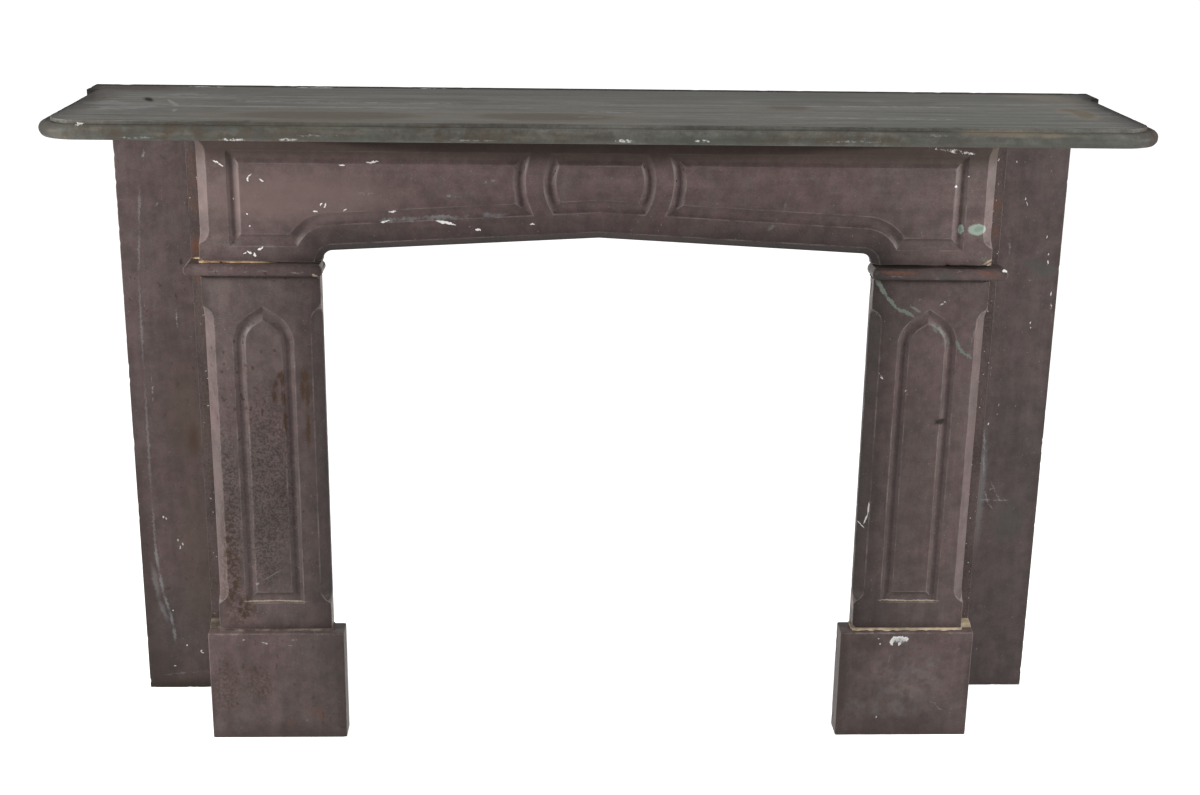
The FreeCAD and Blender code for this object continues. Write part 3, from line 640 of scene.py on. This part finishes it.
def broken_edge(name, marks):
    """Unpolished front edge of a return: dark red slate, brown stains, white specks and its marks."""
    graph = Graph(name)
    clouds_place = graph.moved(graph.place, scale=(1.0, 1.0, 0.3))
    clouds = graph.noise(clouds_place, scale=26.0, detail=4.0, roughness=0.6)
    grain = graph.noise(graph.place, scale=330.0, detail=3.0, roughness=0.6)
    base = graph.mix(graph.step(clouds, 0.36, 0.64), EDGE_DARK, EDGE_LIGHT)
    stains = graph.noise(graph.moved(graph.place, scale=(1.0, 1.0, 0.4)), scale=12.0, detail=3.0)
    base = graph.mix(graph.times(graph.step(stains, 0.58, 0.68), 0.5), base, BROWN)
    base = graph.mix(graph.times(graph.step(grain, 0.3, 0.75), 0.2), base, SCUFF)
    specks = graph.step(graph.noise(graph.place, scale=240.0, detail=1.0), 0.73, 0.77)
    arris = graph.step(graph.attribute("edge_gap"), *WORN_EDGE)
    base = graph.mix(graph.times(specks, graph.math("ADD", graph.times(arris, 0.5), 0.06)), base, CHALK)
    base, rough = marked(graph, base, graph.step(grain, 0.2, 0.8, 0.55, 0.75), marks)
    return graph.finish(base, rough, grain, bump_distance=0.3 * MM, specular=0.15)


# Plaster and iron

SOOT_BLACK = (0.032, 0.026, 0.021)
IRON_SCALE = (0.045, 0.032, 0.026)
IRON_RUST = (0.14, 0.062, 0.030)
IRON_PITS = (0.21, 0.10, 0.045)


def plaster(name, tint, stain, fade=None):
    """Lime plaster, stained. With a fade it turns sooty from one place along the width to another."""
    graph = Graph(name)
    clouds = graph.noise(graph.place, scale=60.0, detail=4.0, roughness=0.6)
    grain = graph.noise(graph.place, scale=600.0, detail=4.0, roughness=0.7)
    base = graph.mix(graph.step(clouds, 0.36, 0.64), stain, tint)
    base = graph.mix(graph.times(graph.step(grain, 0.55, 0.75), 0.5), base, stain)
    if fade:
        parts = graph.add("ShaderNodeSeparateXYZ")
        graph.feed(parts.inputs[0], graph.place)
        base = graph.mix(graph.step(parts.outputs["X"], *fade), base, SOOT_BLACK)
    height = graph.math("ADD", graph.times(clouds, 0.5), graph.times(grain, 0.5))
    rough = graph.step(grain, 0.2, 0.8, 0.8, 0.95)
    return graph.finish(base, rough, height, bump_distance=0.5 * MM, specular=0.15)


def iron(name):
    """Wrought iron with brown rust and darker scale."""
    graph = Graph(name)
    clouds = graph.noise(graph.place, scale=55.0, detail=5.0, roughness=0.65)
    pits = graph.noise(graph.place, scale=380.0, detail=4.0, roughness=0.7)
    base = graph.mix(graph.step(clouds, 0.38, 0.62), IRON_SCALE, IRON_RUST)
    base = graph.mix(graph.times(graph.step(pits, 0.5, 0.7), 0.6), base, IRON_PITS)
    rough = graph.step(clouds, 0.3, 0.7, 0.55, 0.88)
    height = graph.math("ADD", graph.times(clouds, 0.4), graph.times(pits, 0.6))
    return graph.finish(base, rough, height, bump_distance=0.7 * MM, specular=0.4)


# Meshes

def slice_along(mesh, axis, spacing):
    """Cuts all faces along evenly spaced planes square to one axis."""
    places = [vert.co[axis] for vert in mesh.verts]
    low = min(places)
    high = max(places)
    count = max(1, round((high - low) / spacing))
    levels = [low + (high - low) * step / count for step in range(1, count)]
    normal = Vector((0, 0, 0))
    normal[axis] = 1.0

    def cut(faces, levels):
        if not levels or not faces:
            return
        middle = len(levels) // 2
        level = levels[middle]
        geometry = set(faces)
        for face in faces:
            geometry.update(face.edges)
            geometry.update(face.verts)
        result = bmesh.ops.bisect_plane(mesh, geom=list(geometry), dist=WELD,
                                        plane_co=normal * level, plane_no=normal)
        below = []
        above = []
        for item in result["geom"]:
            if isinstance(item, bmesh.types.BMFace):
                side = below if item.calc_center_median()[axis] < level else above
                side.append(item)
        cut(below, levels[:middle])
        cut(above, levels[middle + 1:])

    cut(mesh.faces[:], levels)


def crease_kind(edge):
    """Name of the outward crease that an edge makes: a groove's lip or an arris."""
    if len(edge.link_faces) != 2 or edge.calc_face_angle() < CREASE_ANGLE or not edge.is_convex:
        return None
    return "lip_gap" if edge.calc_face_angle() < LIP_ANGLE else "edge_gap"


def crease_trees(mesh):
    """Points along the creases of each kind, to measure distances from."""
    points = {"edge_gap": [], "lip_gap": []}
    for edge in mesh.edges:
        kind = crease_kind(edge)
        if kind in points:
            first, last = (vert.co for vert in edge.verts)
            count = max(1, math.ceil((last - first).length / CREASE_STEP))
            points[kind].extend(first.lerp(last, step / count) for step in range(count + 1))
    trees = {}
    for kind, places in points.items():
        trees[kind] = kdtree.KDTree(len(places))
        for index, place in enumerate(places):
            trees[kind].insert(place, index)
        trees[kind].balance()
    return trees


def gap_to(tree, place):
    found = tree.find(place)[2]
    return FAR if found is None else min(FAR, found)


def start_mesh(node):
    mesh = bmesh.new()
    mesh.from_mesh(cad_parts[node].data)
    bmesh.ops.remove_doubles(mesh, verts=mesh.verts[:], dist=WELD)
    bmesh.ops.dissolve_limit(mesh, angle_limit=FLAT_ANGLE, verts=mesh.verts[:], edges=mesh.edges[:])
    bmesh.ops.recalc_face_normals(mesh, faces=mesh.faces[:])
    return mesh


def ease(mesh, kind, width):
    """Rounds the outward creases of one kind."""
    sharp = [edge for edge in mesh.edges if crease_kind(edge) == kind]
    bmesh.ops.bevel(mesh, geom=sharp, offset=width, offset_type="OFFSET", segments=ARRIS_SEGMENTS,
                    profile=0.5, affect="EDGES", clamp_overlap=True)


def hollow_out(mesh):
    """Rounds the bottoms of the carved grooves, which all lie at one depth."""
    level = FACE_Y + GROOVE_DEPTH
    bottom = [edge for edge in mesh.edges if all(abs(vert.co.y - level) < WELD for vert in edge.verts)]
    bmesh.ops.bevel(mesh, geom=bottom, offset=GROOVE_HOLLOW, offset_type="OFFSET",
                    segments=GROOVE_SEGMENTS, profile=0.5, affect="EDGES", clamp_overlap=False)


def new_piece(name, node, mesh, materials):
    """Makes a shown piece of a mesh with its materials, hides the node and attaches the piece to the body.
    """
    data = bpy.data.meshes.new(name)
    mesh.to_mesh(data)
    mesh.free()
    for material in materials:
        data.materials.append(material)
    data.shade_smooth()
    data.set_sharp_from_angle(angle=SMOOTH_ANGLE)
    piece = bpy.data.objects.new(name, data)
    bpy.context.scene.collection.objects.link(piece)
    weighting = piece.modifiers.new("even_normals", "WEIGHTED_NORMAL")
    weighting.keep_sharp = True
    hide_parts(node)
    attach(piece, BODY)


def chip_depth(place, gap, seed):
    """How far an arris has flaked away at a place this far from it."""
    reach = max(0.0, 1.0 - gap / CHIP_REACH)
    if reach == 0.0:
        return 0.0
    spot = noise.noise(place * CHIP_SCALE + seed)
    patch = noise.noise(place * CHIP_PATCH_SCALE + seed * 2.0)
    bite = max(0.0, spot + 0.5 * patch - CHIP_START)
    wobble = WOBBLE * (0.5 + 0.5 * noise.noise(place * WOBBLE_SCALE - seed))
    return reach * (min(CHIP_MOST, CHIP_GAIN * bite) + wobble)


def riven_depth(place, seed):
    """Cleft surface of an unworked back: shallow terraces."""
    broad = noise.fractal(place * RIVEN_SCALE + seed, 0.9, 2.0, 4)
    terrace = abs(math.sin(RIVEN_TERRACES * broad))
    return RIVEN_DEPTH * terrace + RIVEN_GRAIN * (1 + noise.noise(place * RIVEN_GRAIN_SCALE + seed))


def soot_at(place):
    """1 at the edge of the fire's opening, fading over the front of the slabs."""
    across = max(0.0, abs(place.x) - OPENING_HALF)
    crown = ARCH_CROWN - min(abs(place.x), OPENING_HALF) * math.tan(ARCH_PITCH)
    above = max(0.0, place.z - crown)
    return math.exp(-math.hypot(across, above) / SOOT_REACH)


def slab(node, materials, axes, spacing, seed, finish_of, sooty=1.0, lip=LIP_ROUND):
    """Slab with eased, chipped arrises and a riven back. finish_of picks a face's material."""
    mesh = start_mesh(node)
    trees = crease_trees(mesh)
    hollow_out(mesh)
    ease(mesh, "lip_gap", lip)
    ease(mesh, "edge_gap", ARRIS)
    for axis in axes:
        slice_along(mesh, axis, spacing)
    mesh.normal_update()
    layers = {kind: mesh.verts.layers.float.new(kind) for kind in trees}
    soot_layer = mesh.verts.layers.float.new("soot")
    shift = Vector(seed)
    raw_verts = set()
    for face in mesh.faces:
        face.material_index = finish_of(face.normal, face.calc_center_median())
        if face.material_index == RAW:
            raw_verts.update(face.verts)
    moves = {}
    for vert in mesh.verts:
        for kind, tree in trees.items():
            vert[layers[kind]] = gap_to(tree, vert.co)
        vert[soot_layer] = sooty * soot_at(vert.co)
        gap = vert[layers["edge_gap"]]
        depth = chip_depth(vert.co, gap, shift)
        if vert in raw_verts:
            depth += riven_depth(vert.co, shift) * min(1.0, gap / RIVEN_MARGIN)
        if depth > 0:
            moves[vert] = vert.normal * -depth
    for vert, move in moves.items():
        vert.co += move
    new_piece(node + "_stone", node, mesh, materials)


# Stage: camera, lamps, world and floor

def make_camera():
    data = bpy.data.cameras.new("camera")
    data.sensor_fit = "HORIZONTAL"
    data.sensor_width = SENSOR_WIDTH
    data.lens = CAMERA_FOCAL_PIXELS / PICTURE_WIDTH * SENSOR_WIDTH
    data.clip_end = CAMERA_REACH
    forward = Vector((math.sin(CAMERA_YAW) * math.cos(CAMERA_PITCH),
                      math.cos(CAMERA_YAW) * math.cos(CAMERA_PITCH), -math.sin(CAMERA_PITCH)))
    level = Vector((math.cos(CAMERA_YAW), -math.sin(CAMERA_YAW), 0.0))
    upright = level.cross(forward)
    right = level * math.cos(CAMERA_ROLL) + upright * math.sin(CAMERA_ROLL)
    up = upright * math.cos(CAMERA_ROLL) - level * math.sin(CAMERA_ROLL)
    turn = Matrix((right, up, -forward)).transposed().to_4x4()
    camera = bpy.data.objects.new("camera", data)
    camera.matrix_world = Matrix.Translation(CAMERA_PLACE) @ turn
    bpy.context.scene.collection.objects.link(camera)
    bpy.context.scene.camera = camera


def make_lamps():
    for name, (place, aim, width, height, watts) in LAMPS.items():
        data = bpy.data.lights.new(name, "AREA")
        data.shape = "RECTANGLE"
        data.size = width
        data.size_y = height
        data.energy = watts
        lamp = bpy.data.objects.new(name, data)
        lamp.location = place
        lamp.rotation_euler = (Vector(aim) - Vector(place)).to_track_quat("-Z", "Y").to_euler()
        bpy.context.scene.collection.objects.link(lamp)


def seen_straight(tree):
    """1 for rays that show the background itself: from the camera, mirrored or through glass."""
    path = tree.nodes.new("ShaderNodeLightPath")
    seen = path.outputs["Is Camera Ray"]
    for kind in ("Is Glossy Ray", "Is Transmission Ray"):
        either = tree.nodes.new("ShaderNodeMath")
        either.operation = "MAXIMUM"
        tree.links.new(seen, either.inputs[0])
        tree.links.new(path.outputs[kind], either.inputs[1])
        seen = either.outputs[0]
    return seen


def make_world():
    """White where it is seen, and a soft light that is a little stronger from above."""
    world = bpy.data.worlds.new("studio")
    bpy.context.scene.world = world
    world.use_nodes = True
    tree = world.node_tree
    tree.nodes.clear()
    direction = tree.nodes.new("ShaderNodeTexCoord")
    parts = tree.nodes.new("ShaderNodeSeparateXYZ")
    tree.links.new(direction.outputs["Generated"], parts.inputs[0])
    height = tree.nodes.new("ShaderNodeMapRange")
    tree.links.new(parts.outputs["Z"], height.inputs["Value"])
    height.inputs["From Min"].default_value = 0.0
    height.inputs["From Max"].default_value = 1.0
    height.inputs["To Min"].default_value = AMBIENT_LOW
    height.inputs["To Max"].default_value = AMBIENT_HIGH
    strength = tree.nodes.new("ShaderNodeMix")
    tree.links.new(seen_straight(tree), strength.inputs["Factor"])
    tree.links.new(height.outputs["Result"], strength.inputs["A"])
    strength.inputs["B"].default_value = 1.0
    background = tree.nodes.new("ShaderNodeBackground")
    background.inputs["Color"].default_value = (1.0, 1.0, 1.0, 1.0)
    tree.links.new(strength.outputs["Result"], background.inputs["Strength"])
    output = tree.nodes.new("ShaderNodeOutputWorld")
    tree.links.new(background.outputs[0], output.inputs["Surface"])


def make_floor():
    data = bpy.data.meshes.new("floor")
    half = FLOOR_SIZE / 2
    low = cad_box[0].z - FLOOR_GAP
    corners = [(-half, -half, low), (half, -half, low), (half, half, low), (-half, half, low)]
    data.from_pydata(corners, [], [(0, 1, 2, 3)])
    material = bpy.data.materials.new("white_floor")
    material.use_nodes = True
    tree = material.node_tree
    tree.nodes.clear()
    diffuse = tree.nodes.new("ShaderNodeBsdfDiffuse")
    diffuse.inputs["Color"].default_value = FLOOR_COLOUR
    glow = tree.nodes.new("ShaderNodeEmission")
    strength = tree.nodes.new("ShaderNodeMath")
    strength.operation = "MULTIPLY"
    tree.links.new(seen_straight(tree), strength.inputs[0])
    strength.inputs[1].default_value = FLOOR_GLOW
    tree.links.new(strength.outputs[0], glow.inputs["Strength"])
    both = tree.nodes.new("ShaderNodeAddShader")
    tree.links.new(diffuse.outputs[0], both.inputs[0])
    tree.links.new(glow.outputs[0], both.inputs[1])
    output = tree.nodes.new("ShaderNodeOutputMaterial")
    tree.links.new(both.outputs[0], output.inputs["Surface"])
    data.materials.append(material)
    floor = bpy.data.objects.new("floor", data)
    bpy.context.scene.collection.objects.link(floor)


# Slabs: which material a face takes

FINE, RAW, EDGE = range(3)


def plain_finish(normal, middle):
    return RAW if normal.y > FACING else FINE


def shelf_finish(normal, middle):
    return RAW if normal.y > FACING or normal.z < -FACING else FINE


def return_finish(normal, middle):
    """The front edge is unpolished, and so is the face towards the chimney."""
    if normal.y < -FACING:
        return EDGE
    return FINE if normal.x * middle.x > 0 and abs(normal.x) > FACING else RAW


LEG_PARTS = ("pilaster", "plinth", "capital", "side_panel", "return")
# Lightness of each slab's slate: partly the slab's own tone, partly painted light and shade that evens out
# how the lamps fall, such as the lighter frieze and the darker left wing
SHADES = {"frieze": 1.26, "side_panel_right": 0.72, "side_panel_left": 0.78, "return_right": 0.8,
          "return_left": 0.7, "pilaster_left": 1.09, "pilaster_right": 0.97, "plinth_left": 1.0,
          "plinth_right": 0.96, "capital_left": 0.95, "capital_right": 0.88}
SPECKLE = {"shelf": 0.3, "frieze": 0.2, "left": 0.75, "right": 0.2}
SOOT = {"shelf": 0.0, "frieze": 1.35, "plinth": 0.4}
SHELF_SEED = (3.1, 1.7, 0.4)
FRIEZE_SEED = (0.3, 2.2, 5.0)


def leg_seed(index, offset):
    """Where the noise of a leg's slab is taken from, so that no two slabs are alike."""
    return 7.3 * index + offset, 1.9 * offset - index, 0.7 * index + 3.1 * offset


def make_slabs():
    raw_purple = raw_slate("raw_purple_slate", RAW_PURPLE)
    raw_green = raw_slate("raw_green_slate", RAW_GREEN)
    edge = broken_edge("broken_slate", MARKS["return_edges"])
    finish = slate("shelf_slate", GREEN, SHELF_SEED, LYING, SPECKLE["shelf"], MARKS["shelf"])
    slab("shelf", [finish, raw_green], (0, 1), SHELF_GRID, SHELF_SEED, shelf_finish,
         SOOT["shelf"], ARRIS)
    tones = shaded(PURPLE, SHADES["frieze"])
    finish = slate("frieze_slate", tones, FRIEZE_SEED, LYING, SPECKLE["frieze"], MARKS["frieze"])
    slab("frieze", [finish, raw_purple], (0, 2), GRID, FRIEZE_SEED, plain_finish,
         SOOT["frieze"])
    for index, side in enumerate(SIDES):
        for offset, part in enumerate(LEG_PARTS):
            node = part + "_" + side
            seed = leg_seed(index, offset)
            ground = ASHEN if node == "side_panel_right" else PURPLE
            tones = shaded(ground, SHADES[node])
            finish = slate(node + "_slate", tones, seed, UPRIGHT, SPECKLE[side], MARKS.get(node, ()))
            axes = (1, 2) if part == "return" else (0, 2)
            finish_of = return_finish if part == "return" else plain_finish
            slab(node, [finish, raw_purple, edge], axes, GRID, seed, finish_of,
                 SOOT.get(part, 1.0))


# Pieces of plaster and iron

BEAD_STEP = 2.5 * MM
BEAD_SWELL = 0.62
LUMP_SCALE = 70.0
CRUMB_SCALE = 210.0
BEAD_SECTION = ((0.0, 0.0), (1.0, 0.0), (0.92, 0.4), (0.55, 0.8), (0.0, 1.0))


def add_bead(mesh, start, end, reach, rise, least, seed):
    """Lumpy strip of squeezed plaster that lies on a ledge, against a face that looks to the room."""
    run = Vector(end) - Vector(start)
    count = max(3, round(run.length / BEAD_STEP))
    rings = []
    for index in range(count + 1):
        place = Vector(start) + run * (index / count)
        lump = noise.noise(place * LUMP_SCALE + seed)
        crumb = noise.noise(place * CRUMB_SCALE + seed)
        size = min(1.0, max(least, BEAD_SWELL + 0.75 * lump + 0.4 * crumb))
        ring = [mesh.verts.new(place + Vector((0, -reach * size * out, rise * size * up)))
                for out, up in BEAD_SECTION]
        rings.append(ring)
    for first, second in zip(rings, rings[1:]):
        for index in range(len(BEAD_SECTION)):
            after = (index + 1) % len(BEAD_SECTION)
            mesh.faces.new((first[index], first[after], second[after], second[index]))
    mesh.faces.new(rings[0])
    mesh.faces.new(list(reversed(rings[-1])))
    bmesh.ops.recalc_face_normals(mesh, faces=mesh.faces[:])


# Beads of plaster on a bed: from and to across the right-hand leg, which the left one mirrors, the
# Y of the face that they lie against, reach, rise, least share of that size
PLINTH_BEADS = {
    "left": [(OPENING_HALF, PILASTER_OUTER, FACE_Y, 4 * MM, 1.2 * MM, 0.3),
             (PILASTER_OUTER, LEG_OUTER, RETURN_Y, 24 * MM, 12 * MM, 0.8)],
    "right": [(OPENING_HALF, PILASTER_OUTER, FACE_Y, 9 * MM, 1.3 * MM, 0.5),
              (PILASTER_OUTER, LEG_OUTER, RETURN_Y, 26 * MM, 8 * MM, 0.8)],
}
CAPITAL_BEADS = {
    "left": [(PILASTER_OUTER - 30 * MM, PILASTER_OUTER, FACE_Y, 7 * MM, 3.5 * MM, 0.3),
             (OPENING_HALF + 60 * MM, PILASTER_OUTER, FACE_Y, 4 * MM, 1.6 * MM, 0.3),
             (PILASTER_OUTER, LEG_OUTER, RETURN_Y, 12 * MM, 5 * MM, 0.2)],
    "right": [],
}

# How far the front edges of beds lie behind the slabs' face
CAPITAL_RECESS = {"left": 0.0, "right": 5 * MM}
NECK_RECESS = 2 * MM


def make_bed(node, side, ledge, beads, material, recess=0.0):
    """Bed of plaster with beads on a ledge."""
    mesh = start_mesh(node)
    if recess:
        for vert in mesh.verts:
            vert.co.y = max(vert.co.y, FACE_Y + recess)
    sign = -1 if side == "left" else 1
    for index, (near, far, y, reach, rise, least) in enumerate(beads):
        seed = Vector((3.7 * index + sign, 1.3, 0.4))
        add_bead(mesh, (sign * near, y, ledge), (sign * far, y, ledge), reach, rise, least, seed)
    new_piece(node + "_plaster", node, mesh, [material])


def worn_piece(node, suffix, material, slot, spacing, round_off, dent, scale, seated):
    """Rough hand-made piece: rounded edges, and dents except where it is seated on its neighbours."""
    mesh = start_mesh(node)
    ease(mesh, "edge_gap", round_off)
    for axis in range(3):
        slice_along(mesh, axis, spacing)
    mesh.normal_update()
    moves = {}
    for vert in mesh.verts:
        if not seated(vert.co):
            wave = 0.5 + 0.5 * noise.noise(vert.co * scale) + 0.3 * noise.noise(vert.co * scale * 4.0)
            moves[vert] = vert.normal * (-dent * max(0.0, wave))
    for vert, move in moves.items():
        vert.co += move
    new_piece(node + suffix, node, mesh, [material])


def in_corner(place):
    """True on the faces of a corner block that lie against the slabs."""
    return abs(abs(place.x) - RETURN_INNER) < WELD or abs(place.y - RETURN_Y) < WELD


def nowhere(place):
    """For pieces that are dented all over."""
    return False


# How rough pieces are worn: spacing of the mesh, rounding, dent, scale of the dents, where seated
BLOCK_WEAR = (5 * MM, 5 * MM, 4 * MM, 60.0, in_corner)
IRON_WEAR = (5 * MM, 0.9 * MM, 0.35 * MM, 150.0, nowhere)
ORANGE_FADE = (-0.515, -0.465)


def make_fixings():
    cream = plaster("cream_plaster", tint=(0.50, 0.42, 0.30), stain=(0.30, 0.24, 0.16))
    orange = plaster("orange_plaster", tint=(0.50, 0.36, 0.21), stain=(0.26, 0.14, 0.07), fade=ORANGE_FADE)
    dirty = plaster("dirty_plaster", tint=(0.20, 0.16, 0.12), stain=(0.07, 0.055, 0.045))
    # Near-black plaster in the recessed joints at the necks and over the right capital: painted shade of the
    # joints
    joint_shade = plaster("joint_shade_plaster", tint=(0.030, 0.026, 0.022), stain=(0.012, 0.010, 0.009))
    rusty = iron("rusty_iron")
    capital_beds = {"left": orange, "right": joint_shade}
    plinth_beds = {"left": dirty, "right": cream}
    for side in SIDES:
        make_bed("plinth_bed_" + side, side, PLINTH_TOP, PLINTH_BEADS[side], plinth_beds[side])
        make_bed("capital_bed_" + side, side, CAPITAL_TOP, CAPITAL_BEADS[side], capital_beds[side],
                 CAPITAL_RECESS[side])
        make_bed("neck_bed_" + side, side, 0.0, [], joint_shade, NECK_RECESS)
        worn_piece("corner_blocks_" + side, "_plaster", dirty, "plaster", *BLOCK_WEAR)
        for part in ("return_cramps_", "frieze_cramp_", "wall_ties_"):
            worn_piece(part + side, "_iron", rusty, "iron", *IRON_WEAR)
    for node, material in (("shelf_bed", dirty), ("plinth_dowels", rusty), ("capital_dowels", rusty)):
        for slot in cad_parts[node].material_slots:
            slot.material = material


bpy.context.scene.view_settings.view_transform = "Standard"
make_camera()
make_lamps()
make_world()
make_floor()
make_slabs()
make_fixings()
